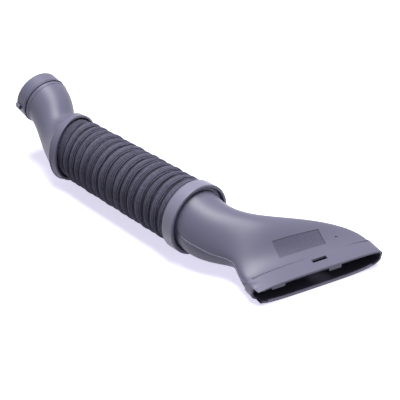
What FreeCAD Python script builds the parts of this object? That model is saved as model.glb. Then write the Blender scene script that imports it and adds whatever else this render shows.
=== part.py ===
# Air intake pipe of a car engine: rear elbow, corrugated hose, collar ring and flat-mouthed snorkel.
# Millimetres. +X runs along the hose axis towards the mouth, +Z is up, and the pipe lies on the plane
# z = 0, with the origin under the middle of its bounding box.
import FreeCAD
import Part
import Sketcher
import math
import os

Vector = FreeCAD.Vector
Placement = FreeCAD.Placement
Rotation = FreeCAD.Rotation

X_AXIS = Vector(1, 0, 0)
Z_AXIS = Vector(0, 0, 1)

# Points of a section's curve, and evenly spaced sections of the duct
SECTION_POINTS = 28
DUCT_SECTIONS = 10

# Squareness of a section's quarters, upper right, upper left, lower left and lower right, where 2 is round
ROUND_SQUARES = (2.0, 2.0, 2.0, 2.0)
WAIST_SQUARES = (1.8, 1.7, 2.1, 2.1)
SHOULDER_SQUARES = (2.4, 1.7, 2.2, 2.2)
FLARE_SQUARES = (4.0, 2.1, 2.5, 2.4)
MOUTH_SQUARES = (5.0, 2.8, 4.2, 3.2)

# Places on the duct's centre line, from 0 at the neck to 1 at the mouth band's step
WAIST_AT = 0.4
SHOULDER_AT = 0.68
FLARE_AT = 0.88

# Elbow's bend: sections, tangents as a share of the span, end and steepness of the bell's flare, and where
# the outlet's shoulder begins, from 0 at the bell to 1 at the outlet
ELBOW_SECTIONS = 7
ELBOW_HANDLE = 0.36
FLARE_END = 0.66
FLARE_POWER = 2.7
OUTLET_SHOULDER = 0.5

doc = FreeCAD.newDocument("AirIntakePipe")
sheet = doc.addObject("Spreadsheet::Sheet", "Dimensions")

# Driving dimensions: alias, value in millimetres or degrees, meaning
DIMENSIONS = [
    ("axis_height", 44.5, "hose axis above the floor"),
    ("fit_gap", 0.2, "radial clearance of every fit"),
    ("elbow_yaw", 16.2, "turn of the elbow against the hose axis"),
    ("lean_length", 80.0, "hose, length over which its rings turn from the bell's axis to its own"),
    ("crest_radius", 40.3, "hose, outside at the middle of a crest"),
    ("cuff_radius", 38.8, "hose, outside of the cuffs and of the crest shoulders"),
    ("groove_radius", 36.8, "hose, outside at the bottom of a groove"),
    ("groove_width", 4.4, "hose, groove between two crest shoulders"),
    ("groove_floor", 1.4, "hose, flat bottom of a groove"),
    ("hose_wall", 1.8, "hose wall"),
    ("convolution_pitch", 14.1, "hose, from one groove to the next"),
    ("convolution_count", 15, "hose, number of crests"),
    ("rear_cuff_length", 13.0, "hose, plain length outside the bell"),
    ("front_cuff_length", 8.0, "hose, plain length inside the collar"),
    ("bead_length", 3.4, "hose, bead that seats in the bell"),
    ("bell_radius", 44.5, "elbow, outside of the bell"),
    ("bell_wall", 3.0, "elbow, wall of the bell's band"),
    ("bell_band_length", 9.0, "elbow, band at the bell's rim"),
    ("bell_round", 1.2, "elbow, rounding of the bell's rim"),
    ("bell_crease", 0.7, "elbow, step between the bell's band and its flare"),
    ("elbow_wall", 2.6, "elbow wall"),
    ("elbow_radius", 28.5, "elbow, outside at its narrowest"),
    ("outlet_back", 73.5, "outlet groove behind the bell's rim"),
    ("outlet_side", 31.0, "outlet groove to the side of the bell's axis"),
    ("outlet_rise", 37.0, "outlet groove above the bell's axis"),
    ("outlet_yaw", 15.0, "outlet axis against the bell's axis, sideways"),
    ("outlet_pitch", 16.0, "outlet axis against the bell's axis, upwards"),
    ("outlet_radius", 33.5, "outlet collar, outside"),
    ("outlet_bore_radius", 30.0, "outlet collar, inside"),
    ("outlet_length", 22.0, "outlet collar with its groove"),
    ("outlet_groove_width", 2.0, "groove between outlet collar and elbow"),
    ("outlet_groove_depth", 1.6, "groove between outlet collar and elbow"),
    ("outlet_round", 2.4, "rounding of the outlet's rim"),
    ("nub_length", 8.0, "latch nub along the outlet axis"),
    ("nub_setback", 2.5, "latch nub behind the outlet's rim"),
    ("nub_height", 2.6, "latch nub above the collar"),
    ("nub_width", 7.0, "latch nub across"),
    ("nub_angle", 262.0, "latch nub's place round the collar, degrees"),
    ("collar_radius", 43.8, "collar ring, outside"),
    ("collar_web", 3.0, "collar ring, web that sits on the spigot"),
    ("collar_recess", 6.0, "collar ring, open recess in front of the web"),
    ("collar_rim", 3.4, "collar ring, wall of its front rim"),
    ("collar_round", 1.2, "collar ring, rounding of its outer edges"),
    ("neck_radius", 36.5, "snorkel neck, outside"),
    ("spigot_radius", 35.0, "snorkel spigot inside the hose, outside"),
    ("stop_radius", 39.0, "snorkel stop bead in front of the collar's web"),
    ("stop_length", 2.5, "snorkel stop bead"),
    ("stop_lap", 0.4, "lap of the stop bead's bore past the start of the duct's wall"),
    ("duct_wall", 2.5, "snorkel wall"),
    ("snorkel_reach", 145.4, "snorkel, from the stop bead to the mouth's middle"),
    ("snorkel_shift", 53.1, "snorkel, mouth's middle to the side of the hose axis"),
    ("neck_lead", 60.0, "snorkel, tangent of its centre line at the neck"),
    ("mouth_lead", 48.9, "snorkel, tangent of its centre line at the mouth"),
    ("mouth_yaw", 14.4, "mouth's normal against the hose axis"),
    ("waist_half_width", 48.0, "duct half width at the waist"),
    ("waist_top", 61.0, "duct top at the waist"),
    ("waist_bottom", 4.0, "duct bottom at the waist"),
    ("waist_widest", 30.0, "height of the duct's widest place at the waist"),
    ("shoulder_half_width", 65.0, "duct half width at the shoulder"),
    ("shoulder_top", 48.5, "duct top at the shoulder"),
    ("shoulder_bottom", 2.5, "duct bottom at the shoulder"),
    ("shoulder_widest", 27.0, "height of the duct's widest place at the shoulder"),
    ("flare_half_width", 80.4, "duct half width at the flare"),
    ("flare_top", 32.5, "duct top at the flare"),
    ("flare_bottom", 1.8, "duct bottom at the flare"),
    ("flare_widest", 18.0, "height of the duct's widest place at the flare"),
    ("mouth_width", 168.6, "mouth band, from tip to tip"),
    ("mouth_height", 24.0, "mouth band at the lip"),
    ("mouth_tip_height", 15.5, "mouth band's tips above the floor"),
    ("band_depth", 22.0, "mouth band, from its step to the lip"),
    ("lip_depth", 5.0, "end of the duct's own curve behind the lip"),
    ("band_rise", 3.0, "mouth band, how much higher it is at its step"),
    ("band_step", 1.2, "mouth band proud of the duct"),
    ("slot_length", 19.5, "clip slot along the mouth"),
    ("slot_width", 5.0, "clip slot across"),
    ("slot_setback", 14.3, "clip slot's middle behind the lip"),
    ("slot_offset", 6.8, "clip slot's middle from the mouth's middle"),
    ("panel_length", 62.0, "recessed panel along the mouth"),
    ("panel_width", 17.0, "recessed panel across"),
    ("panel_depth", 0.8, "recessed panel below the top"),
    ("panel_setback", 41.1, "recessed panel's middle behind the lip"),
    ("panel_offset", -3.0, "recessed panel's middle from the mouth's middle"),
    ("dimple_radius", 1.8, "dimple in the top"),
    ("dimple_floor", 29.9, "dimple's floor above the ground"),
    ("dimple_setback", 36.3, "dimple behind the lip"),
    ("dimple_offset", 45.0, "dimple from the mouth's middle"),
    ("rib_length", 16.5, "ribs under the upper lip, along the mouth"),
    ("rib_thickness", 1.6, "ribs under the upper lip"),
    ("rib_height", 7.0, "ribs under the upper lip, with the part inside the wall"),
    ("rib_sink", 1.9, "top of the ribs below the lip's top"),
    ("rib_setback", 3.2, "ribs behind the lip"),
    ("left_rib_offset", -53.5, "left rib from the mouth's middle"),
    ("right_rib_offset", 21.0, "right rib from the mouth's middle"),
    ("notch_length", 9.0, "notch in the mouth's left tip, along the mouth"),
    ("notch_depth", 9.0, "notch in the mouth's left tip, behind the lip"),
    ("notch_bottom", 4.0, "notch in the mouth's left tip, its bottom above the floor"),
    ("notch_height", 15.5, "notch in the mouth's left tip"),
]
for row, (alias, value, meaning) in enumerate(DIMENSIONS, start=1):
    sheet.set(f"A{row}", meaning)
    sheet.set(f"B{row}", str(value))
    sheet.setAlias(f"B{row}", alias)
doc.recompute()


class Size:
    """A number together with the spreadsheet expression that gives it."""

    def __init__(self, value, text):
        self.value = float(value)
        self.text = text

    def join(self, sign, other, value):
        text = other.text if isinstance(other, Size) else str(other)
        return Size(value, f"({self.text} {sign} {text})")

    def __add__(self, other):
        return self.join("+", other, self.value + number(other))

    def __sub__(self, other):
        return self.join("-", other, self.value - number(other))

    def __mul__(self, other):
        return self.join("*", other, self.value * number(other))


def number(size):
    return size.value if isinstance(size, Size) else float(size)


def size(alias):
    return Size(sheet.get(alias), f"Dimensions.{alias}")


def length(alias):
    return float(sheet.get(alias))


def heading(yaw, pitch=0.0):
    """Unit vector that is turned from +X by yaw about Z, then raised by pitch, in degrees."""
    turn, lift = math.radians(yaw), math.radians(pitch)
    return Vector(math.cos(turn) * math.cos(lift), math.sin(turn) * math.cos(lift), math.sin(lift))


def facing(direction):
    """Rotation that takes Z to a direction and keeps X level."""
    across = Z_AXIS.cross(direction)
    return Rotation(across, Vector(), direction, "ZXY")


def bezier(corners, t):
    """Point and unit tangent of the cubic with four control corners."""
    a, b, c, d = corners
    u = 1 - t
    point = a * u**3 + b * (3 * u * u * t) + c * (3 * u * t * t) + d * t**3
    tangent = (b - a) * (u * u) + (c - b) * (2 * u * t) + (d - c) * (t * t)
    return point, tangent.normalize()


def part_feature(name, shape):
    feature = doc.addObject("Part::Feature", name)
    feature.Shape = shape
    return feature


def round_bar(name, radius, reach, place):
    """Cylinder of bound radius and length along the Z of its place."""
    bar = doc.addObject("Part::Cylinder", name)
    bar.setExpression("Radius", radius.text)
    bar.setExpression("Height", reach.text)
    bar.Placement = place
    return bar


def joined(name, pieces):
    fuse = doc.addObject("Part::MultiFuse", name)
    fuse.Shapes = pieces
    fuse.Refine = False
    return fuse


def cut(name, base, tool):
    feature = doc.addObject("Part::Cut", name)
    feature.Base = base
    feature.Tool = tool
    feature.Refine = False
    return feature


def origin_plane(body, role):
    return next(f for f in body.Origin.OriginFeatures if f.Role == role)


def new_sketch(body, name, role):
    sketch = body.newObject("Sketcher::SketchObject", name)
    sketch.AttachmentSupport = [(origin_plane(body, role), "")]
    sketch.MapMode = "FlatFace"
    return sketch


def profile_sketch(body, name, corners):
    """Closed polygon of bound corners (along, out) in the plane through the axis of a turned form."""
    sketch = new_sketch(body, name, "XZ_Plane")
    places = [Vector(number(along), number(out), 0) for along, out in corners]
    count = len(corners)
    for i in range(count):
        sketch.addGeometry(Part.LineSegment(places[i], places[(i + 1) % count]))
    for i in range(count):
        sketch.addConstraint(Sketcher.Constraint("Coincident", i, 2, (i + 1) % count, 1))
    for i, corner in enumerate(corners):
        for kind, axis, distance in (("DistanceX", -2, corner[0]), ("DistanceY", -1, corner[1])):
            if number(distance) == 0:
                sketch.addConstraint(Sketcher.Constraint("PointOnObject", i, 1, axis))
                continue
            limit = Sketcher.Constraint(kind, -1, 1, i, 1, number(distance))
            index = sketch.addConstraint(limit)
            sketch.setExpression(f"Constraints[{index}]", distance.text)
    return sketch


def turned(body, name, sketch):
    """Full revolution of a profile about the sketch's own horizontal axis."""
    feature = body.newObject("PartDesign::Revolution", name)
    feature.Profile = sketch
    feature.ReferenceAxis = (sketch, ["H_Axis"])
    feature.Angle = 360
    return feature


def rim_edges(shape, radius, centre):
    """Numbers of the full circles of one radius round one centre."""
    numbers = []
    for i, edge in enumerate(shape.Edges, start=1):
        if not isinstance(edge.Curve, Part.Circle):
            continue
        if abs(edge.Curve.Radius - radius) < 1e-4 and edge.Curve.Center.distanceToPoint(centre) < 1e-3:
            numbers.append(i)
    return numbers


def rounded(body, name, edges, radius):
    base = body.Tip
    fillet = body.newObject("PartDesign::Fillet", name)
    fillet.Base = (base, [f"Edge{i}" for i in edges])
    fillet.Radius = radius.value
    fillet.setExpression("Radius", radius.text)
    return fillet


# Places along the pipe, all from the bell's rim at x = 0
bell_yaw = length("elbow_yaw")
hose_span = length("rear_cuff_length") + length("convolution_count") * length("convolution_pitch")
collar_start = hose_span
web_start = collar_start + length("front_cuff_length")
stop_start = web_start + length("collar_web")
neck_start = stop_start + length("stop_length")


def hose_point(distance):
    """Centre and ring direction of the hose at a distance from the bell's rim: its axis is straight outside
    the bell, and its first rings lean as the bell does."""
    turned_back = min(max(distance, 0) / length("lean_length"), 1)
    direction = heading(bell_yaw * (1 - turned_back))
    along = X_AXIS if distance > 0 else direction
    return Vector(0, 0, length("axis_height")) + along * distance, direction


def rounded_bar(name, bar, radius, rounding, centre):
    """Bar with one rim rounded: the circle of that radius round the centre."""
    fillet = doc.addObject("Part::Fillet", name)
    fillet.Base = bar
    doc.recompute()
    numbers = rim_edges(bar.Shape, radius.value, centre)
    fillet.Edges = [(i, rounding.value, rounding.value) for i in numbers]
    return fillet


def elbow_frame():
    """Outlet groove's centre, outlet direction and centre line, with X backwards from the bell's rim."""
    groove = Vector(length("outlet_back"), -length("outlet_side"), length("outlet_rise"))
    outward = heading(-length("outlet_yaw"), length("outlet_pitch"))
    start = Vector(length("bell_band_length"), 0, 0)
    handle = (groove - start).Length * ELBOW_HANDLE
    return groove, outward, [start, start + X_AXIS * handle, groove - outward * handle, groove]


def elbow_loft(shrink, end_radius):
    """Bend through circles: the flare at the bell, the narrow body and the shoulder of the outlet."""
    path = elbow_frame()[2]
    narrow = length("elbow_radius")
    flare = length("bell_radius") - length("bell_crease")
    wires = []
    for i in range(ELBOW_SECTIONS):
        t = i / (ELBOW_SECTIONS - 1)
        point, tangent = bezier(path, t)
        normal = (X_AXIS * (1 - t) + tangent * t).normalize()
        widen = max(0.0, 1 - t / FLARE_END) ** FLARE_POWER
        swell = max(0.0, (t - OUTLET_SHOULDER) / (1 - OUTLET_SHOULDER)) ** 2
        radius = narrow - shrink + (flare - narrow) * widen + (end_radius - narrow + shrink) * swell
        wire = Part.Wire(Part.makeCircle(radius))
        wire.Placement = Placement(point, facing(normal))
        wires.append(wire)
    return Part.makeLoft(wires, True, False)


def rear_elbow():
    """S-bend in the frame of its bell, with the band at the bell's rim and the outlet's collar."""
    groove, outward = elbow_frame()[:2]
    bend = part_feature("ElbowBend", elbow_loft(0, length("outlet_radius") - length("bell_crease")))
    air = part_feature("ElbowAir", elbow_loft(length("elbow_wall"), length("outlet_bore_radius")))
    at_rim = Placement(Vector(), Rotation(Z_AXIS, X_AXIS))
    overlap = size("bell_crease")
    band = round_bar("BellBand", size("bell_radius"), size("bell_band_length") + overlap, at_rim)
    bell = rounded_bar("BellRound", band, size("bell_radius"), size("bell_round"), Vector())
    socket_radius = size("bell_radius") - size("bell_wall")
    socket = round_bar("HoseSocket", socket_radius, size("bell_band_length"), at_rim)

    at_groove = Placement(groove - outward * overlap.value, facing(outward))
    neck_radius = size("outlet_radius") - size("outlet_groove_depth")
    neck = round_bar("OutletNeck", neck_radius, size("outlet_groove_width") + overlap * 2, at_groove)
    at_collar = Placement(groove + outward * length("outlet_groove_width"), facing(outward))
    collar_length = size("outlet_length") - size("outlet_groove_width")
    collar = round_bar("OutletCollar", size("outlet_radius"), collar_length, at_collar)
    rim_centre = groove + outward * length("outlet_length")
    outlet = rounded_bar("OutletRound", collar, size("outlet_radius"), size("outlet_round"), rim_centre)
    bore = round_bar("OutletBore", size("outlet_bore_radius"), size("outlet_length") + overlap * 2, at_groove)

    nub = doc.addObject("Part::Box", "LatchNub")
    nub.setExpression("Length", size("nub_width").text)
    nub.setExpression("Width", (size("nub_height") * 2).text)
    nub.setExpression("Height", size("nub_length").text)
    nub_back = length("outlet_length") - length("nub_setback") - length("nub_length")
    round_axis = Placement(groove + outward * nub_back, facing(outward))
    turn = Placement(Vector(), Rotation(Z_AXIS, length("nub_angle")))
    corner = Vector(-length("nub_width") / 2, length("outlet_radius") - length("nub_height"), 0)
    nub.Placement = round_axis * turn * Placement(corner, Rotation())

    result = joined("ElbowSolid", [bend, bell, neck, outlet, nub])
    for tool in (air, socket, bore):
        result = cut(f"Without{tool.Name}", result, tool)
    result.Label = "rear_elbow"
    rim_point, direction = hose_point(0)
    result.Placement = Placement(rim_point, Rotation(direction * -1, Vector(), Z_AXIS, "XZY"))
    return result


def ruled_tube(stations):
    """Solid through circles (distance along the hose, radius)."""
    wires = []
    for distance, radius in stations:
        centre, direction = hose_point(distance)
        wires.append(Part.Wire(Part.Circle(centre, direction, radius).toShape()))
    return Part.makeLoft(wires, True, True)


def flex_hose():
    """Corrugated tube with leaning first rings, from its bead in the bell to the collar's web."""
    wall = length("hose_wall")
    cuff = length("cuff_radius")
    floor = length("groove_floor")
    ramp = (length("groove_width") - floor) / 2
    seat = -length("bell_band_length")
    bead = length("bell_radius") - length("bell_wall") - length("fit_gap")
    bead_end = seat + length("bead_length")
    bead_slope = ramp / 2
    outside = [(seat, bead), (bead_end, bead), (bead_end + bead_slope, cuff)]
    inside = [(seat, cuff - wall)]
    for i in range(int(length("convolution_count"))):
        start = length("rear_cuff_length") + i * length("convolution_pitch")
        crest_start = start + length("groove_width")
        crest_middle = (crest_start + start + length("convolution_pitch")) / 2
        outside += [
            (start, cuff),
            (start + ramp, length("groove_radius")),
            (start + ramp + floor, length("groove_radius")),
            (crest_start, cuff),
            (crest_middle, length("crest_radius")),
        ]
        inside += [
            (start, cuff - wall),
            (start + ramp + floor / 2, length("groove_radius") - wall),
            (crest_start, cuff - wall),
        ]
    end = hose_span + length("front_cuff_length")
    held = length("spigot_radius") + length("fit_gap")
    outside += [(hose_span, cuff), (end, cuff)]
    inside += [(hose_span - ramp, cuff - wall), (hose_span, held), (end, held)]
    hose = part_feature("FlexHose", ruled_tube(outside).cut(ruled_tube(inside)))
    hose.Label = "flex_hose"
    return hose


def front_collar():
    """Ring turned about the hose axis: bore for the cuff, web on the spigot, open recess in front."""
    body = doc.addObject("PartDesign::Body", "FrontCollar")
    depth = size("front_cuff_length")
    web = depth + size("collar_web")
    front = web + size("collar_recess")
    outer = size("collar_radius")
    rim = outer - size("collar_rim")
    bore = size("cuff_radius") + size("fit_gap")
    eye = size("spigot_radius") + size("fit_gap")
    corners = [
        (0, bore), (0, outer), (front, outer), (front, rim),
        (web, rim), (web, eye), (depth, eye), (depth, bore),
    ]
    turned(body, "Ring", profile_sketch(body, "RingProfile", corners))
    doc.recompute()
    edges = rim_edges(body.Shape, outer.value, Vector())
    edges += rim_edges(body.Shape, outer.value, Vector(front.value, 0, 0))
    rounded(body, "RingRound", edges, size("collar_round"))
    body.Label = "front_collar"
    body.Placement = Placement(Vector(collar_start, 0, length("axis_height")), Rotation())
    return body


def duct_section(centre, yaw, half_width, bottom, top, widest, squares):
    """Points across the duct: a superellipse with a squareness for each quarter, from upper right."""
    across = Z_AXIS.cross(heading(yaw))
    points = []
    for i in range(SECTION_POINTS):
        angle = 2 * math.pi * i / SECTION_POINTS
        c, s = math.cos(angle), math.sin(angle)
        power = 2 / squares[4 * i // SECTION_POINTS]
        out = math.copysign(abs(c) ** power, c) * half_width
        height = top - widest if s > 0 else widest - bottom
        up = widest + math.copysign(abs(s) ** power, s) * height
        points.append(centre + across * out + Z_AXIS * up)
    return points


def closed_wire(points):
    curve = Part.BSplineCurve()
    curve.interpolate(points, PeriodicFlag=True)
    return Part.Wire(curve.toShape())


def middle(points):
    total = Vector()
    for point in points:
        total = total + point
    return total * (1 / len(points))


def even_sections(sections):
    """Evenly spaced sections on smooth curves through the matching points of uneven ones."""
    places = [0.0]
    for before, after in zip(sections, sections[1:]):
        places.append(places[-1] + middle(before).distanceToPoint(middle(after)))
    curves = []
    for i in range(SECTION_POINTS):
        curve = Part.BSplineCurve()
        curve.interpolate([section[i] for section in sections], Parameters=places)
        curves.append(curve)
    steps = [places[-1] * i / (DUCT_SECTIONS - 1) for i in range(DUCT_SECTIONS)]
    return [[curve.value(step) for curve in curves] for step in steps]


def snorkel_frame():
    """Mouth's middle on the floor, its outward direction, and the cubic of the duct's centre line."""
    outward = heading(-length("mouth_yaw"))
    start = Vector(neck_start - length("stop_length") / 2, 0, 0)
    mouth = start + Vector(length("snorkel_reach"), length("snorkel_shift"), 0)
    step = mouth - outward * length("band_depth")
    corners = [start, start + X_AXIS * length("neck_lead"), step - outward * length("mouth_lead"), step]
    return mouth, outward, corners


def mouth_section(depth, shrink):
    """Mouth outline at a depth behind the lip, higher towards the step, with some thickness taken off."""
    mouth, outward = snorkel_frame()[:2]
    half = length("mouth_width") / 2 - shrink
    top = length("mouth_height") + length("band_rise") * depth / length("band_depth") - shrink
    return duct_section(mouth - outward * depth, -length("mouth_yaw"), half, shrink, top,
                        length("mouth_tip_height"), MOUTH_SQUARES)


def mouth_loft(back, front, shrink):
    """Mouth outline between two depths behind the lip, with some thickness taken off."""
    wires = [closed_wire(mouth_section(depth, shrink)) for depth in (back, front)]
    return Part.makeLoft(wires, True, True)


def duct_loft(shrink):
    """Duct from the round neck to the mouth's band, all sections smaller by some thickness."""
    path = snorkel_frame()[2]
    neck = length("neck_radius")
    axis = length("axis_height")
    # Station on the centre line, half width, bottom, top, height of the widest place, squareness
    stations = [(0.0, neck, axis - neck, axis + neck, axis, ROUND_SQUARES)]
    for name, place, squares in (
        ("waist", WAIST_AT, WAIST_SQUARES),
        ("shoulder", SHOULDER_AT, SHOULDER_SQUARES),
        ("flare", FLARE_AT, FLARE_SQUARES),
    ):
        stations.append((place, length(f"{name}_half_width"), length(f"{name}_bottom"), length(f"{name}_top"),
                         length(f"{name}_widest"), squares))
    sections = []
    for t, half_width, bottom, top, widest, squares in stations:
        point = bezier(path, t)[0]
        sections.append(duct_section(point, -length("mouth_yaw") * t, half_width - shrink, bottom + shrink,
                                     top - shrink, widest, squares))
    step = length("band_step")
    sections.append(mouth_section(length("band_depth"), shrink + step))
    sections.append(mouth_section(length("lip_depth"), shrink + step))
    return Part.makeLoft([closed_wire(points) for points in even_sections(sections)], True, False)


def mouth_box(name, along, across, up, depth, offset, bottom):
    """Box in the mouth's frame: centred at a depth behind the lip and an offset along the mouth."""
    mouth, outward = snorkel_frame()[:2]
    box = doc.addObject("Part::Box", name)
    box.setExpression("Length", across.text)
    box.setExpression("Width", along.text)
    box.setExpression("Height", up.text)
    side = Z_AXIS.cross(outward)
    corner = mouth - outward * (depth + across.value / 2) + side * (offset - along.value / 2)
    box.Placement = Placement(corner + Z_AXIS * bottom, Rotation(outward, side, Z_AXIS, "ZXY"))
    return box


def snorkel():
    """Moulded duct: spigot and stop bead, lofted duct, mouth band, slot, panel, dimple, notch and ribs."""
    wall = size("duct_wall")
    height = size("mouth_height")
    skin = part_feature("DuctSkin", duct_loft(0))
    air = part_feature("DuctAir", duct_loft(wall.value))
    lowered = part_feature("LoweredSkin", skin.Shape.translated(Z_AXIS * -length("panel_depth")))

    overlap = size("band_step")
    spigot_length = size("front_cuff_length") + size("collar_web")
    at_spigot = Placement(Vector(collar_start, 0, length("axis_height")), Rotation(Z_AXIS, X_AXIS))
    at_stop = Placement(Vector(stop_start, 0, length("axis_height")), Rotation(Z_AXIS, X_AXIS))
    spigot = round_bar("Spigot", size("spigot_radius"), spigot_length + overlap, at_spigot)
    stop = round_bar("StopBead", size("stop_radius"), size("stop_length"), at_stop)
    bore_length = spigot_length + size("stop_length") + overlap
    bore = round_bar("SpigotBore", size("spigot_radius") - wall, bore_length, at_spigot)

    depth = length("band_depth")
    band = part_feature("MouthBand", mouth_loft(depth, 0, 0))
    mouth_space = part_feature("MouthSpace", mouth_loft(depth - wall.value, -overlap.value, wall.value))

    slot = mouth_box("ClipSlot", size("slot_length"), size("slot_width"), height,
                     length("slot_setback"), length("slot_offset"), height.value / 2)
    panel_block = mouth_box("PanelBlock", size("panel_length"), size("panel_width"), height * 2,
                            length("panel_setback"), length("panel_offset"), height.value / 2)
    panel = cut("PanelRecess", panel_block, lowered)

    mouth, outward = snorkel_frame()[:2]
    side = Z_AXIS.cross(outward)
    spot = mouth - outward * length("dimple_setback") + side * length("dimple_offset")
    at_dimple = Placement(spot + Z_AXIS * length("dimple_floor"), Rotation())
    dimple = round_bar("Dimple", size("dimple_radius"), height, at_dimple)
    notch_along = size("notch_length") + overlap
    notch_across = size("notch_depth") + overlap
    notch_offset = (length("notch_length") - overlap.value - length("mouth_width")) / 2
    notch = mouth_box("TipNotch", notch_along, notch_across, size("notch_height"),
                      (length("notch_depth") - overlap.value) / 2, notch_offset, length("notch_bottom"))
    rib_bottom = height.value - length("rib_sink") - length("rib_height")
    ribs = [mouth_box(f"{name}Rib", size("rib_length"), size("rib_thickness"), size("rib_height"),
                      length("rib_setback"), length(f"{name.lower()}_rib_offset"), rib_bottom)
            for name in ("Left", "Right")]

    duct = joined("DuctSolid", [skin, band])
    for tool in (air, mouth_space, slot, panel, dimple, notch):
        duct = cut(f"Without{tool.Name}", duct, tool)
    lap_start = neck_start - length("stop_length") / 2 + length("stop_lap")
    at_lap = Placement(Vector(lap_start, 0, length("axis_height")), Rotation(Z_AXIS, X_AXIS))
    stop_bore = round_bar("StopBore", size("neck_radius") - wall * 0.5, size("stop_length"), at_lap)
    socket = cut("SpigotTube", joined("SpigotSolid", [spigot, stop]), bore)
    result = joined("Snorkel", [duct, cut("SpigotOpen", socket, stop_bore)] + ribs)
    result.Label = "snorkel"
    return result


pieces = [rear_elbow(), flex_hose(), front_collar(), snorkel()]
doc.recompute()

for item in doc.Objects:
    if "Invalid" in item.State or "Error" in item.State:
        raise RuntimeError(f"{item.Name} failed: {item.State}")
for piece in pieces:
    if piece.Shape.isNull() or not piece.Shape.isValid() or len(piece.Shape.Solids) != 1:
        raise RuntimeError(f"{piece.Label} has no single valid solid")

# The origin goes to the floor under the middle of the whole pipe
whole = FreeCAD.BoundBox()
for piece in pieces:
    whole.add(piece.Shape.optimalBoundingBox())
shift = Vector(-whole.Center.x, -whole.Center.y, -whole.ZMin)
for piece in pieces:
    piece.Placement = Placement(shift, Rotation()) * piece.Placement
doc.recompute()

os.makedirs("parts", exist_ok=True)
for piece in pieces:
    piece.Shape.exportStep(f"parts/{piece.Label}.step")
    print(piece.Label, "volume", round(piece.Shape.Volume), "box", piece.Shape.optimalBoundingBox())
outlet_groove, outlet_outward = elbow_frame()[:2]
elbow_place = pieces[0].Placement
print("outlet rim", elbow_place.multVec(outlet_groove + outlet_outward * length("outlet_length")))
print("outlet axis", elbow_place.Rotation.multVec(outlet_outward))
mouth_middle, mouth_outward = snorkel_frame()[:2]
print("mouth middle", mouth_middle + shift, "outward", mouth_outward)
print("hose axis starts", shift, "collar", collar_start, "neck", neck_start)
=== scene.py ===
# %% [markdown]
# An air intake pipe lies on a white studio floor: a moulded plastic elbow, a dark corrugated hose,
# a plastic collar ring and a flat-mouthed plastic snorkel. The solids come from the CAD frame, so this
# lesson adds the finishes, a finer hose, some fine raised lines, the light and the camera.

import math

import bmesh
import bpy
from mathutils import Matrix, Vector
from mathutils.bvhtree import BVHTree


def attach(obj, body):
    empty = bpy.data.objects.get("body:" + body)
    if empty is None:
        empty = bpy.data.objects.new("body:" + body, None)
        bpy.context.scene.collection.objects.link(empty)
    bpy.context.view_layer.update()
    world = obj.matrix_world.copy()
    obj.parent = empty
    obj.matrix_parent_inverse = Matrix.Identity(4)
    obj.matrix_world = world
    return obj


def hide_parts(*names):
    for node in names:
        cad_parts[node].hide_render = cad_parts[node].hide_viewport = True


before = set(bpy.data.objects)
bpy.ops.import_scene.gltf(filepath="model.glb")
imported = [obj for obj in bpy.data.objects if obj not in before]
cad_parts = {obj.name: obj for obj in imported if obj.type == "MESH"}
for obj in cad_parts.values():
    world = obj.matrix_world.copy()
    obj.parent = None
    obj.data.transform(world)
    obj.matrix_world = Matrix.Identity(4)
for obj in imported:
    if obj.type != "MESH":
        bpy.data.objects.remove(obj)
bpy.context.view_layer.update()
MM = 0.001
print("nodes", sorted(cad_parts))

# %% [markdown]
# Colours are written as sRGB hex values, the way a paint chart gives them, but a shader works on linear
# light. One function turns the first into the second, and one small function adds a node and its links,
# so that each material below reads as a short list of steps.

# %% Colour and node helpers


def linear(hex_colour):
    """sRGB hex text such as 8C8AA0 as linear red, green, blue and a full alpha."""
    channels = [int(hex_colour[i:i + 2], 16) / 255 for i in (0, 2, 4)]
    steps = [c / 12.92 if c <= 0.04045 else ((c + 0.055) / 1.055) ** 2.4 for c in channels]
    return (*steps, 1.0)


def add_node(tree, kind, settings=None, values=None, links=None):
    """Adds a node, sets its properties and socket values, and links other nodes' outputs to its inputs."""
    node = tree.nodes.new(kind)
    for name, value in (settings or {}).items():
        setattr(node, name, value)
    for name, value in (values or {}).items():
        node.inputs[name].default_value = value
    for name, output in (links or {}).items():
        tree.links.new(output, node.inputs[name])
    return node


def new_material(name):
    """An empty node material and its shader, ready for values and links."""
    material = bpy.data.materials.new(name)
    material.use_nodes = True
    shader = material.node_tree.nodes["Principled BSDF"]
    return material, material.node_tree, shader


print("white is", linear("FFFFFF"))

# %% [markdown]
# Some details follow the part's own lines: a panel is set into the snorkel's top and a seam runs along its
# flanks. So the lesson first writes down where the hose starts, where the snorkel's centre line runs and how
# the mouth stands. They are sizes of the CAD model, at their places in its frame. The centre line is a Bezier
# curve of four points, as in the CAD model, so a few numbers give every place on it.

# %% Centre line and the mouth's place
HOSE_REAR = Vector((-147.07, -47.67, 44.52)) * MM
NECK_START = Vector((89.68, -47.67, 44.52)) * MM
MOUTH_MIDDLE = Vector((235.08, 5.43, 0.02)) * MM
MOUTH_YAW = math.radians(-14.4)
MOUTH_OUTWARD = Vector((math.cos(MOUTH_YAW), math.sin(MOUTH_YAW), 0))
MOUTH_ACROSS = Vector((-MOUTH_OUTWARD.y, MOUTH_OUTWARD.x, 0))
BAND_DEPTH = 22.0 * MM
NECK_LEAD = 60.0 * MM
MOUTH_LEAD = 48.9 * MM
# Each pair is a share of the centre line and the height of the duct's widest place there.
WIDEST_HEIGHTS = [(0.0, 44.5 * MM), (0.4, 30.0 * MM), (0.68, 27.0 * MM), (0.88, 18.0 * MM), (1.0, 15.5 * MM)]


def widest_height(t):
    """Height of the duct's widest place at a share of its centre line."""
    for (t0, z0), (t1, z1) in zip(WIDEST_HEIGHTS, WIDEST_HEIGHTS[1:]):
        if t <= t1:
            return z0 + (z1 - z0) * (t - t0) / (t1 - t0)
    return WIDEST_HEIGHTS[-1][1]


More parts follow.
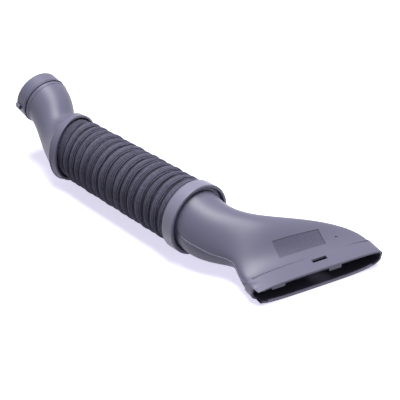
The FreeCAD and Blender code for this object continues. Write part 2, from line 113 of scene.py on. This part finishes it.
def duct_centre(t):
    """Point of the snorkel's centre line, on the floor plan, at the height of the duct's widest place."""
    step = MOUTH_MIDDLE - MOUTH_OUTWARD * BAND_DEPTH
    corners = [NECK_START, NECK_START + Vector((NECK_LEAD, 0, 0)), step - MOUTH_OUTWARD * MOUTH_LEAD, step]
    u = 1 - t
    shares = [u ** 3, 3 * u * u * t, 3 * u * t * t, t ** 3]
    point = sum((corner * share for corner, share in zip(corners, shares)), Vector((0, 0, 0)))
    point.z = widest_height(t)
    return point


print("duct's middle", tuple(round(v, 4) for v in duct_centre(0.5)))

# %% [markdown]
# The elbow, collar and snorkel are glass-filled polypropylene, injection moulded in a spark-eroded tool.
# That leaves a fine even grain, so the grey is satin: broad soft lights, no sharp reflections. The real grain
# is about 0.3 mm and is drawn at 0.9 mm so that it shows, as a shallow bump with a faint mottle under it.
# Real geometry for the grain would take millions of faces, so it stays a bump.

# %% Moulded polypropylene
MOTTLE = 18.0 * MM
GRAIN = 0.9 * MM
GRAIN_DEPTH = 0.15 * MM
GRAIN_STRENGTH = 0.30


def moulded_polypropylene(kind, hex_dark, hex_light, roughness):
    """Satin grey plastic: a soft mottle between two close colours and a fine moulded grain."""
    material, tree, shader = new_material(f"moulded polypropylene, {kind}")
    place = add_node(tree, "ShaderNodeTexCoord")
    # Noise has about two patches per unit of scale.
    mottle = add_node(tree, "ShaderNodeTexNoise", values={"Scale": 1 / (2 * MOTTLE), "Detail": 4.0},
                      links={"Vector": place.outputs["Object"]})
    colour = add_node(tree, "ShaderNodeMix", {"data_type": "RGBA"},
                      {6: linear(hex_dark), 7: linear(hex_light)}, {0: mottle.outputs["Fac"]})
    tree.links.new(colour.outputs[2], shader.inputs["Base Color"])
    grain = add_node(tree, "ShaderNodeTexNoise", values={"Scale": 1 / (2 * GRAIN), "Detail": 3.0},
                     links={"Vector": place.outputs["Object"]})
    bump = add_node(tree, "ShaderNodeBump", values={"Strength": GRAIN_STRENGTH, "Distance": GRAIN_DEPTH},
                    links={"Height": grain.outputs["Fac"]})
    tree.links.new(bump.outputs["Normal"], shader.inputs["Normal"])
    shader.inputs["Roughness"].default_value = roughness
    shader.inputs["IOR"].default_value = 1.5
    shader.inputs["Specular IOR Level"].default_value = 0.55
    return material


elbow_finish = moulded_polypropylene("elbow grey", "6A6882", "74728A", 0.45)
# The collar's paler grey also paints a highlight on the snorkel's lower lip.
collar_grey_and_lip_highlight = moulded_polypropylene("collar grey", "8886A0", "9290A8", 0.34)
snorkel_finish = moulded_polypropylene("snorkel grey", "6A6882", "74728A", 0.40)
# The dark grey inside the ducts is painted shade, where little light gets in.
painted_shade_inside = moulded_polypropylene("painted shade inside", "2C2A3A", "383648", 0.75)
print("plastics", elbow_finish.name, collar_grey_and_lip_highlight.name, snorkel_finish.name, painted_shade_inside.name)

# %% [markdown]
# The snorkel's top carries a bare recessed panel. The recess is in the CAD mesh, and its floor has a coarser
# etch than the skin around it, so it looks darker. A thin sheet could carry the etch, but it would have to
# follow the curved top, so the etch is a part of the snorkel's own material. A Mapping node moves the pattern
# to the panel's middle and turns it with the mouth, and the mask is 1 where both distances are inside it.

# %% Mask of the etched panel
PANEL_SETBACK = 41.1 * MM
PANEL_OFFSET = -3.0 * MM
PANEL_LONG = 62.0 * MM
PANEL_SHORT = 17.0 * MM
# Below this height the mask is 0, so that the duct's underside stays plain.
ETCH_ABOVE = 22.0 * MM
PANEL_MIDDLE = MOUTH_MIDDLE - MOUTH_OUTWARD * PANEL_SETBACK + MOUTH_ACROSS * PANEL_OFFSET
tree = snorkel_finish.node_tree
shader = tree.nodes["Principled BSDF"]
place = add_node(tree, "ShaderNodeTexCoord")
panel_place = add_node(tree, "ShaderNodeMapping", {"vector_type": "TEXTURE"},
                       {"Location": PANEL_MIDDLE, "Rotation": (0, 0, MOUTH_YAW)},
                       {"Vector": place.outputs["Object"]})
parts = add_node(tree, "ShaderNodeSeparateXYZ", links={"Vector": panel_place.outputs["Vector"]})
inside_short = add_node(tree, "ShaderNodeMath", {"operation": "COMPARE"}, {1: 0.0, 2: PANEL_SHORT / 2},
                        {0: parts.outputs["X"]})
inside_long = add_node(tree, "ShaderNodeMath", {"operation": "COMPARE"}, {1: 0.0, 2: PANEL_LONG / 2},
                       {0: parts.outputs["Y"]})
above = add_node(tree, "ShaderNodeMath", {"operation": "GREATER_THAN"}, {1: ETCH_ABOVE},
                 {0: parts.outputs["Z"]})
on_plan = add_node(tree, "ShaderNodeMath", {"operation": "MULTIPLY"},
                   links={0: inside_short.outputs["Value"], 1: inside_long.outputs["Value"]})
on_panel = add_node(tree, "ShaderNodeMath", {"operation": "MULTIPLY"},
                    links={0: on_plan.outputs["Value"], 1: above.outputs["Value"]})
print("panel", PANEL_LONG / MM, "by", PANEL_SHORT / MM, "mm")

# %% [markdown]
# The etch is a scatter of small dark pits, and a Voronoi texture gives just that: its distance is smallest at
# each pit's middle. The pits are drawn 1.3 mm apart, coarser than real ones, so that they show.

# %% Etch on the panel
PIT_SPACING = 1.3 * MM
pits = add_node(tree, "ShaderNodeTexVoronoi", values={"Scale": 1 / PIT_SPACING},
                links={"Vector": place.outputs["Object"]})
etch = add_node(tree, "ShaderNodeMix", {"data_type": "RGBA"}, {6: linear("484660"), 7: linear("5E5C74")},
                {0: pits.outputs["Distance"]})
plain = shader.inputs["Base Color"].links[0].from_socket
skin = add_node(tree, "ShaderNodeMix", {"data_type": "RGBA"},
                links={0: on_panel.outputs["Value"], 6: plain, 7: etch.outputs[2]})
tree.links.new(skin.outputs[2], shader.inputs["Base Color"])
print("pits", PIT_SPACING / MM, "mm apart")

# %% [markdown]
# The elbow, the collar and the snorkel keep their CAD meshes, so that they fit as they were designed. Each of
# them gets one finish on all its faces.

# %% Finishes on the CAD pieces


def dress(node, finish):
    """Gives every face of a CAD piece one finish."""
    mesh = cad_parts[node].data
    mesh.materials.clear()
    mesh.materials.append(finish)
    for face in mesh.polygons:
        face.material_index = 0
    print(node, "has", finish.name, "on", len(mesh.polygons), "triangles")


dress("rear_elbow", elbow_finish)
dress("front_collar", collar_grey_and_lip_highlight)
dress("snorkel", snorkel_finish)

# %% [markdown]
# The photograph shows the ducts nearly black inside, as little light gets in there, so their inner faces
# get a darker, duller finish, which is painted shade. How a real one looks further in is a guess. The faces
# could be picked by hand, but rays find them by themselves: a face is inside if two or more rays along its
# normal soon meet the same piece again, and a ray straight up meets it too. The second test leaves out the
# walls of the recessed panel.

# %% Painted shade inside the ducts
UP = Vector((0, 0, 1))
ELBOW_REACH = 90.0 * MM
SNORKEL_REACH = 110.0 * MM
RAY_LIFT = 0.2 * MM
CORNER_SHARE = 0.6


def piece_tree(node):
    """A search tree of a CAD piece's faces, for shooting rays at it."""
    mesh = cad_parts[node].data
    return BVHTree.FromPolygons([v.co for v in mesh.vertices], [f.vertices for f in mesh.polygons])


def is_inside(tree, mesh, face, reach):
    """True for a face that looks at its own piece within a reach and lies under some of it."""
    corners = [mesh.vertices[i].co for i in face.vertices]
    starts = [face.center] + [face.center.lerp(corner, CORNER_SHARE) for corner in corners]
    starts = [point + face.normal * RAY_LIFT for point in starts]
    ahead = [tree.ray_cast(point, face.normal, reach)[0] for point in starts]
    roofed = any(tree.ray_cast(point, UP)[0] is not None for point in starts)
    return roofed and sum(hit is not None for hit in ahead) > 1


def darken_inside(node, reach):
    """Gives the painted shade finish to the inner faces of a CAD piece."""
    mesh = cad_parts[node].data
    # The inner faces found below get this painted shade finish.
    mesh.materials.append(painted_shade_inside)
    tree = piece_tree(node)
    inner_faces = [face for face in mesh.polygons if is_inside(tree, mesh, face, reach)]
    for face in inner_faces:
        face.material_index = 1
    print(node, "has", len(inner_faces), "triangles inside")


darken_inside("rear_elbow", ELBOW_REACH)
darken_inside("snorkel", SNORKEL_REACH)

# %% [markdown]
# The hose is a textile-covered rubber bellows: wide bands with a narrow ridge, and deep grooves between them.
# One band could be repeated by an Array modifier, but wound cloth is never quite even. So the wall is written
# band by band as a row of points, with a small wave in each band's place and height.

# %% Hose wall
PITCH = 14.1 * MM
FIRST_BAND = 13.0 * MM
BANDS = 15
HOSE_LENGTH = FIRST_BAND + BANDS * PITCH
FRONT_CUFF = 8.0 * MM
BEAD_SEAT = -9.0 * MM
BEAD = 41.3 * MM
CREST = 41.1 * MM
GROOVE = 36.9 * MM
CUFF = 38.8 * MM
BAND_SHIFT = 0.7 * MM
BAND_LIFT = 0.3 * MM


def wall_points():
    """Outer wall from the bell to the collar as (distance, radius), bands a little uneven as in cloth."""
    points = [(BEAD_SEAT, BEAD), (BEAD_SEAT + 3.4 * MM, BEAD), (BEAD_SEAT + 4.2 * MM, CUFF), (0.0, CUFF),
              (FIRST_BAND * 0.5, CUFF + 0.3 * MM)]
    for band in range(BANDS):
        start = FIRST_BAND + band * PITCH + BAND_SHIFT * math.sin(1.7 * band + 0.4)
        crest = CREST + BAND_LIFT * math.sin(2.4 * band + 0.7)
        points += [
            (start - 1.2 * MM, CREST - 2.2 * MM), (start - 0.5 * MM, GROOVE + 0.5 * MM), (start, GROOVE),
            (start + 0.6 * MM, GROOVE + 0.4 * MM), (start + 1.5 * MM, crest - 2.4 * MM),
            (start + 3.4 * MM, crest - 1.0 * MM), (start + 5.2 * MM, crest - 0.6 * MM),
            (start + 6.2 * MM, crest - 0.1 * MM), (start + 7.0 * MM, crest),
            (start + 7.8 * MM, crest - 0.2 * MM), (start + 8.8 * MM, crest - 0.6 * MM),
            (start + 10.8 * MM, crest - 0.9 * MM),
        ]
    points += [(HOSE_LENGTH - 0.8 * MM, CUFF), (HOSE_LENGTH, CUFF - 0.1 * MM),
               (HOSE_LENGTH + FRONT_CUFF, CUFF - 0.1 * MM)]
    return points


outer_wall = wall_points()
hose_span = HOSE_LENGTH + FRONT_CUFF - BEAD_SEAT
print("hose wall has", len(outer_wall), "points over", round(hose_span / MM), "mm")

# %% [markdown]
# The wall is spun round a straight axis, which keeps every ring round. A second row of points, one wall
# thickness further in, closes the section before the spin, so the hose is a closed shell without a modifier.

# %% Spin the hose wall
WALL = 1.6 * MM
AROUND = 128
shape = bmesh.new()
outer = [shape.verts.new((distance, radius, 0)) for distance, radius in outer_wall]
inner = [shape.verts.new((distance, radius - WALL, 0)) for distance, radius in reversed(outer_wall)]
loop = outer + inner
edges = [shape.edges.new((a, b)) for a, b in zip(loop, loop[1:] + loop[:1])]
bmesh.ops.spin(shape, geom=loop + edges, cent=(0, 0, 0), axis=(1, 0, 0), angle=2 * math.pi, steps=AROUND,
               use_merge=True)
bmesh.ops.recalc_face_normals(shape, faces=shape.faces)
print("straight hose", len(shape.faces), "faces")

# %% [markdown]
# The hose's first rings lean as the elbow's bell does, and then turn square to the axis. A Curve modifier
# would bend the axis too, so each vertex is moved by its own ring's lean instead. Its distance along the hose
# and its height on the band are kept as attributes first, because the cloth's pattern follows them.

# %% Lean the hose's rings
LEAN = math.radians(16.2)
LEAN_LENGTH = 80.0 * MM
RING_CREEP = 0.35 * MM
FINE_CREEP = 0.2 * MM
RING_SWELL = 0.004
REAR_CUFF_END = BEAD_SEAT + 6.0 * MM
FRONT_CUFF_START = HOSE_LENGTH - 2.0 * MM


def hose_ring(distance):
    """Centre of the ring at a distance from the bell's rim, and the level direction across it."""
    lean = LEAN * (1 - min(max(distance, 0) / LEAN_LENGTH, 1))
    forward = Vector((math.cos(lean), math.sin(lean), 0))
    along = Vector((1, 0, 0)) if distance > 0 else forward
    return HOSE_REAR + along * distance, Vector((-forward.y, forward.x, 0))


threads = shape.verts.layers.float.new("along_hose")
band_height = shape.verts.layers.float.new("band_height")
for vert in shape.verts:
    distance, level, rise = vert.co
    centre, across = hose_ring(distance)
    vert[threads] = distance
    vert[band_height] = (math.hypot(level, rise) - GROOVE) / (CREST - GROOVE)
    radial = across * level + UP * rise
    vert.co = centre + radial
    # Between the cuffs each ring swells and creeps a little, in a few waves per turn, as wound cloth does.
    if REAR_CUFF_END < distance < FRONT_CUFF_START:
        turn = math.atan2(rise, level)
        creep = RING_CREEP * math.sin(3 * turn + 90 * distance)
        creep += FINE_CREEP * math.sin(5 * turn - 210 * distance)
        swell = RING_SWELL * math.sin(4 * turn + 160 * distance)
        vert.co += radial * swell + Vector((creep, 0, 0))
print("rings lean by", round(math.degrees(LEAN), 1), "degrees over the first", round(LEAN_LENGTH / MM), "mm")

# %% [markdown]
# A bmesh is only a working shape, so it becomes a mesh and an object that rides on the part's body. The new
# hose takes the place of the CAD model's plainer one.

# %% Hose piece


def object_from(shape, name):
    """Makes a smooth-shaded object of a bmesh and puts it in the scene."""
    mesh = bpy.data.meshes.new(name)
    shape.to_mesh(mesh)
    shape.free()
    for face in mesh.polygons:
        face.use_smooth = True
    made = bpy.data.objects.new(name, mesh)
    bpy.context.scene.collection.objects.link(made)
    return made


hose = object_from(shape, "hose_cloth")
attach(hose, "root")
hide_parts("flex_hose")
print("hose", len(hose.data.polygons), "faces")

# %% [markdown]
# Rubberised polyester cloth is matt and nearly black, and paler where its threads and lint stand up. The
# wound threads are about 0.8 mm apart; they are drawn 2.3 mm apart so that they show at the photograph's
# size. A Wave texture would run straight through the hose, so a sine of the distance along it makes the
# threads, and they follow the leaning rings.

# %% Threads and lint of the rubberised polyester cloth
THREAD = 2.3 * MM
THREAD_SHARE = 0.45
THREAD_DEPTH = 0.6 * MM
WANDER = 5.0 * MM
WANDER_LENGTH = 14.0 * MM
LINT = 1.4 * MM
cloth, tree, shader = new_material("rubberised polyester cloth, wound")
along = add_node(tree, "ShaderNodeAttribute", {"attribute_name": "along_hose"})
place = add_node(tree, "ShaderNodeTexCoord")
# Noise mostly stays in the middle of its range, so a thread wanders by a millimetre or two.
wander = add_node(tree, "ShaderNodeTexNoise", values={"Scale": 1 / (2 * WANDER_LENGTH), "Detail": 3.0},
                  links={"Vector": place.outputs["Object"]})
shifted = add_node(tree, "ShaderNodeMath", {"operation": "MULTIPLY_ADD"}, {1: WANDER},
                   {0: wander.outputs["Fac"], 2: along.outputs["Fac"]})
phase = add_node(tree, "ShaderNodeMath", {"operation": "MULTIPLY"}, {1: 2 * math.pi / THREAD},
                 {0: shifted.outputs["Value"]})
thread = add_node(tree, "ShaderNodeMath", {"operation": "SINE"}, links={0: phase.outputs["Value"]})
lint = add_node(tree, "ShaderNodeTexNoise", values={"Scale": 1 / (2 * LINT), "Detail": 4.0},
                links={"Vector": place.outputs["Object"]})
height = add_node(tree, "ShaderNodeMath", {"operation": "MULTIPLY_ADD"}, {1: THREAD_SHARE},
                  {0: thread.outputs["Value"], 2: lint.outputs["Fac"]})
bump = add_node(tree, "ShaderNodeBump", values={"Strength": 1.0, "Distance": THREAD_DEPTH},
                links={"Height": height.outputs["Value"]})
tree.links.new(bump.outputs["Normal"], shader.inputs["Normal"])
print("threads", THREAD / MM, "mm apart")

# %% [markdown]
# The cloth's colour goes with its height: dark between the threads and paler on them. The grooves get a near
# black, which is painted shade in the creases, and the ridges a paler grey, a painted highlight that the lint
# noise breaks up. The band_height attribute is 0 in a groove and about 1 on a ridge, so no mask has to be
# painted.

# %% Colours of the rubberised polyester cloth
share = add_node(tree, "ShaderNodeMapRange", values={"From Min": 0.1, "From Max": 0.9},
                 links={"Value": height.outputs["Value"]})
colour = add_node(tree, "ShaderNodeMix", {"data_type": "RGBA"}, {6: linear("2A2838"), 7: linear("646279")},
                  {0: share.outputs["Result"]})
level = add_node(tree, "ShaderNodeAttribute", {"attribute_name": "band_height"})
on_band = add_node(tree, "ShaderNodeMapRange", values={"From Min": 0.10, "From Max": 0.45},
                   links={"Value": level.outputs["Fac"]})
# Near black in the grooves: painted shade in the creases.
cloth_with_groove_shade = add_node(tree, "ShaderNodeMix", {"data_type": "RGBA"}, {6: linear("1A1824")},
                {0: on_band.outputs["Result"], 7: colour.outputs[2]})
# Paler grey on the ridges, broken up by the lint noise: a painted highlight.
on_ridge = add_node(tree, "ShaderNodeMapRange", values={"From Min": 0.78, "From Max": 1.0, "To Max": 0.5},
                    links={"Value": level.outputs["Fac"]})
ridge_highlight_share = add_node(tree, "ShaderNodeMath", {"operation": "MULTIPLY", "use_clamp": True},
                  links={0: on_ridge.outputs["Result"], 1: lint.outputs["Fac"]})
cloth_with_ridge_highlight = add_node(tree, "ShaderNodeMix", {"data_type": "RGBA"}, {7: linear("9290A8")},
                {0: ridge_highlight_share.outputs["Value"], 6: cloth_with_groove_shade.outputs[2]})
tree.links.new(cloth_with_ridge_highlight.outputs[2], shader.inputs["Base Color"])
shader.inputs["Roughness"].default_value = 0.8
shader.inputs["IOR"].default_value = 1.4
hose.data.materials.append(cloth)
print("hose has", cloth.name)

# %% [markdown]
# Thin raised lines run over the plastic pieces. A bevelled curve could draw them, but it would have to be
# made a mesh later. So one function sets a ring of vertices at each point of a line and bridges it to the
# next. The first and last rings are capped, so that every bead is a closed shape.

# %% Bead along a line
BEAD_SIDES = 8


def bead_piece(name, points, radii, finish=snorkel_finish):
    """A round bead through points, one ring of vertices at each point, bridged to the next."""
    shape = bmesh.new()
    rings = []
    for i, (point, radius) in enumerate(zip(points, radii)):
        forward = points[min(i + 1, len(points) - 1)] - points[max(i - 1, 0)]
        turn = forward.to_track_quat("Z", "Y").to_matrix().to_4x4()
        made = bmesh.ops.create_circle(shape, cap_ends=i in (0, len(points) - 1), segments=BEAD_SIDES,
                                       radius=radius, matrix=Matrix.Translation(point) @ turn)
        rings.append({edge for vert in made["verts"] for edge in vert.link_edges})
    for before, after in zip(rings, rings[1:]):
        bmesh.ops.bridge_loops(shape, edges=list(before) + list(after))
    bmesh.ops.recalc_face_normals(shape, faces=shape.faces)
    piece = object_from(shape, name)
    piece.data.materials.append(finish)
    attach(piece, "root")
    print(name, len(piece.data.polygons), "faces")


print("beads have", BEAD_SIDES, "sides")

# %% [markdown]
# A seam shows as a thin raised line along the snorkel's near flank, as where two shells are welded. The far
# flank is hidden, so its seam is a guess. A ray is shot at each flank from the side, at the height where the
# duct is widest; the hits give the line, so the bead follows the CAD surface without any measured points.

# %% Weld bead along both flanks
WELD_RADIUS = 0.9 * MM
WELD_START = 0.06
WELD_SHARE = 0.92
WELD_STEPS = 36
RAY_START = 200.0 * MM
snorkel_tree = piece_tree("snorkel")


def flank_point(t, side_sign):
    """Where the duct's flank is at a share of its centre line, seen from one side."""
    yaw = MOUTH_YAW * t
    across = Vector((-math.sin(yaw), math.cos(yaw), 0)) * side_sign
    return snorkel_tree.ray_cast(duct_centre(t) + across * RAY_START, -across)[0]


weld_shares = [WELD_START + WELD_SHARE * i / WELD_STEPS for i in range(WELD_STEPS + 1)]
for side_name, side_sign in (("near", -1), ("far", 1)):
    flank = [flank_point(t, side_sign) for t in weld_shares]
    bead_piece(f"weld_bead_{side_name}", flank, [WELD_RADIUS] * len(flank))

# %% [markdown]
# The raised band round the mouth starts with a small rolled edge. It is plain at the two corners and dies
# away towards the middle, so its beads get thinner on the way. A bevel would give it one width all along.
# Rays from above find the surface there.

# %% Rolled edge of the mouth's band
EDGE_SETBACK = BAND_DEPTH - 0.7 * MM
NEAR_OFFSETS = [(-76 + 4.2 * i) * MM for i in range(17)]
FAR_OFFSETS = [(48 + 2.2 * i) * MM for i in range(15)]


def band_edge_point(offset):
    """Point on the band's rear edge, at an offset across the mouth."""
    edge = MOUTH_MIDDLE - MOUTH_OUTWARD * EDGE_SETBACK + MOUTH_ACROSS * offset
    return snorkel_tree.ray_cast(edge + UP * RAY_START, -UP)[0]


def tapered(first, last, count):
    """Bead radii that change evenly from a first to a last one."""
    return [first + (last - first) * i / (count - 1) for i in range(count)]


near_edge = [band_edge_point(offset) for offset in NEAR_OFFSETS]
bead_piece("band_edge_near", near_edge, tapered(0.9 * MM, 0.2 * MM, len(near_edge)))
far_edge = [band_edge_point(offset) for offset in FAR_OFFSETS]
bead_piece("band_edge_far", far_edge, tapered(0.2 * MM, 1.1 * MM, len(far_edge)))

# %% [markdown]
# The lower lip has a rounded front edge that catches the light, and its bead wears the collar's paler grey,
# a painted highlight. From above the upper lip is in the way, so these rays come from below, and the bead
# sits a little higher, in the lip's front edge.

# %% Rounded edge of the lower lip
LIP_RADIUS = 1.5 * MM
LIP_SETBACK = 0.9 * MM
LIP_RISE = 1.6 * MM
LIP_RAY_START = 50.0 * MM
LIP_OFFSETS = [(-68 + 4 * i) * MM for i in range(36)]


def lip_point(offset):
    """Point just inside the lower lip's front edge, at an offset across the mouth."""
    under = MOUTH_MIDDLE - MOUTH_OUTWARD * LIP_SETBACK + MOUTH_ACROSS * offset - UP * LIP_RAY_START
    return snorkel_tree.ray_cast(under, UP)[0] + UP * LIP_RISE


lip = [lip_point(offset) for offset in LIP_OFFSETS]
# The collar's paler grey on the snorkel's lip is a painted highlight along its edge.
bead_piece("lower_lip_edge", lip, [LIP_RADIUS] * len(lip), collar_grey_and_lip_highlight)

# %% [markdown]
# The elbow has a fine raised line behind its bell and one on each side of the groove in its outlet. They
# could be plain rings of a measured radius, but rays towards the axis find the skin all round, so a thin bead
# runs on the CAD surface whatever its radius is. Where the bell comes near the floor the line is left out.

# %% Raised lines on the elbow
OUTLET_RIM = Vector((-247.44, -38.85, 87.58)) * MM
OUTLET_AXIS = Vector((-0.961, -0.020, 0.2756))
BELL_AXIS = Vector((math.cos(LEAN), math.sin(LEAN), 0))
RING_STEPS = 72
RING_RAY_START = 90.0 * MM
FLOOR_CLEARANCE = 2.0 * MM
elbow_tree = piece_tree("rear_elbow")


def ring_on_elbow(centre, axis):
    """Points on the elbow's skin round an axis, in one plane across it, where they clear the floor."""
    side = axis.cross(UP).normalized()
    up = side.cross(axis).normalized()
    found = []
    for i in range(RING_STEPS + 1):
        turn = 2 * math.pi * i / RING_STEPS - math.pi / 2
        out = side * math.cos(turn) + up * math.sin(turn)
        found.append(elbow_tree.ray_cast(centre + out * RING_RAY_START, -out)[0])
    return [point for point in found if point.z > FLOOR_CLEARANCE]


line_places = [("bell_line", HOSE_REAR - BELL_AXIS * 9.5 * MM, BELL_AXIS, 0.7 * MM),
               ("outlet_line_rear", OUTLET_RIM - OUTLET_AXIS * 17.5 * MM, OUTLET_AXIS, 0.6 * MM),
               ("outlet_line_front", OUTLET_RIM - OUTLET_AXIS * 25.5 * MM, OUTLET_AXIS, 0.6 * MM)]
for name, centre, axis, radius in line_places:
    ring = ring_on_elbow(centre, axis)
    bead_piece(name, ring, [radius] * len(ring), elbow_finish)

# %% [markdown]
# The floor is a large flat sheet just under the pipe. A curved backdrop isn't needed, because the sheet runs
# far past the picture and the world behind it is as white.

# %% Floor sheet
FLOOR_HALF = 6.0
FLOOR_DROP = 0.2 * MM
floor_shape = bmesh.new()
bmesh.ops.create_grid(floor_shape, x_segments=1, y_segments=1, size=FLOOR_HALF)
bmesh.ops.translate(floor_shape, verts=floor_shape.verts, vec=-UP * FLOOR_DROP)
floor = object_from(floor_shape, "floor")
print("floor", tuple(round(v, 2) for v in floor.dimensions))

# %% [markdown]
# The floor is plain white to the camera, with a faint violet glow in its shadows as in the photograph. More
# light would make it white too, but would wash out the pipe. So Light Path tells the rays apart: camera,
# glossy and transmission rays see a white floor that glows, and to the light that bounces about it is a mid
# grey that lights nothing by itself, so the pipe's near sides stay dark.

# %% Floor paint
GLOW_NEAR = 0.4
GLOW_FAR = 1.2


def background_rays(tree):
    """Output that is 1 for camera, glossy and transmission rays, which see the background, and else 0."""
    rays = add_node(tree, "ShaderNodeLightPath")
    seen = add_node(tree, "ShaderNodeMath", {"operation": "MAXIMUM"},
                    links={0: rays.outputs["Is Camera Ray"], 1: rays.outputs["Is Glossy Ray"]})
    seen_too = add_node(tree, "ShaderNodeMath", {"operation": "MAXIMUM"},
                        links={0: seen.outputs["Value"], 1: rays.outputs["Is Transmission Ray"]})
    return seen_too.outputs["Value"]


floor_paint, tree, shader = new_material("matt white studio floor")
shader.inputs["Roughness"].default_value = 1.0
shader.inputs["Specular IOR Level"].default_value = 0.0
seen = background_rays(tree)
tree.links.new(seen, shader.inputs["Emission Strength"])
paint = add_node(tree, "ShaderNodeMix", {"data_type": "RGBA"}, {6: linear("84848C"), 7: linear("FFFFFF")},
                 {0: seen})
tree.links.new(paint.outputs[2], shader.inputs["Base Color"])
# Away from the pipe, where the lamp gets weak, the glow turns from faint violet to plain white.
place = add_node(tree, "ShaderNodeTexCoord")
away = add_node(tree, "ShaderNodeVectorMath", {"operation": "LENGTH"}, links={0: place.outputs["Object"]})
far_share = add_node(tree, "ShaderNodeMapRange", values={"From Min": GLOW_NEAR, "From Max": GLOW_FAR},
                     links={"Value": away.outputs["Value"]})
glow = add_node(tree, "ShaderNodeMix", {"data_type": "RGBA"}, {6: linear("D6D2E6"), 7: linear("FFFFFF")},
                {0: far_share.outputs["Result"]})
tree.links.new(glow.outputs[2], shader.inputs["Emission Color"])
floor.data.materials.append(floor_paint)
print("floor has", floor_paint.name)

# %% [markdown]
# One large soft lamp hangs overhead, which gives the broad lights on top and the darker near sides. A small
# lamp would give hard shadows that the photograph doesn't have.

# %% Lamp
LAMP_PLACE = (0.05, 0.04, 1.3)
LAMP_WIDTH = 1.15
LAMP_DEPTH = 0.6
LAMP_POWER = 20.5
scene = bpy.context.scene
scene.view_settings.view_transform = "Standard"
lamp_data = bpy.data.lights.new("overhead", "AREA")
lamp_data.shape = "RECTANGLE"
lamp_data.size = LAMP_WIDTH
lamp_data.size_y = LAMP_DEPTH
lamp_data.energy = LAMP_POWER
lamp = bpy.data.objects.new("overhead", lamp_data)
lamp.location = LAMP_PLACE
scene.collection.objects.link(lamp)
print("lamp power", lamp_data.energy)

# %% [markdown]
# The world is plain white to the same rays as the floor, so that the background has no horizon. To all other
# rays it is a weak fill, which keeps the shadows from going black.

# %% World
FILL_STRENGTH = 0.10
world = bpy.data.worlds.new("studio")
world.use_nodes = True
scene.world = world
background = world.node_tree.nodes["Background"]
background.inputs["Color"].default_value = linear("FFFFFF")
strength = add_node(world.node_tree, "ShaderNodeMath", {"operation": "MULTIPLY_ADD"},
                    {1: 1 - FILL_STRENGTH, 2: FILL_STRENGTH}, {0: background_rays(world.node_tree)})
world.node_tree.links.new(strength.outputs["Value"], background.inputs["Strength"])
print("world fill", FILL_STRENGTH)

# %% [markdown]
# The photograph looks down on the pipe by about 31 degrees, from the mouth's side. A long lens keeps the
# pipe's far end from shrinking too much. A constraint could aim the camera, but its two angles say the same
# and stay fixed.

# %% Camera
AZIMUTH = math.radians(47.6)
ELEVATION = math.radians(31.0)
CAMERA_PLACE = Vector((743.33, -639.87, 599.3)) * MM
SENSOR_WIDTH = 36.0
LENS = 81.0
back = Vector((math.sin(AZIMUTH) * math.cos(ELEVATION), -math.cos(AZIMUTH) * math.cos(ELEVATION),
               math.sin(ELEVATION)))
camera_data = bpy.data.cameras.new("camera")
camera_data.sensor_width = SENSOR_WIDTH
camera_data.lens = LENS
camera = bpy.data.objects.new("camera", camera_data)
camera.location = CAMERA_PLACE
camera.rotation_mode = "QUATERNION"
camera.rotation_quaternion = (-back).to_track_quat("-Z", "Y")
scene.collection.objects.link(camera)
scene.camera = camera
print("camera at", tuple(round(v, 4) for v in camera.location))
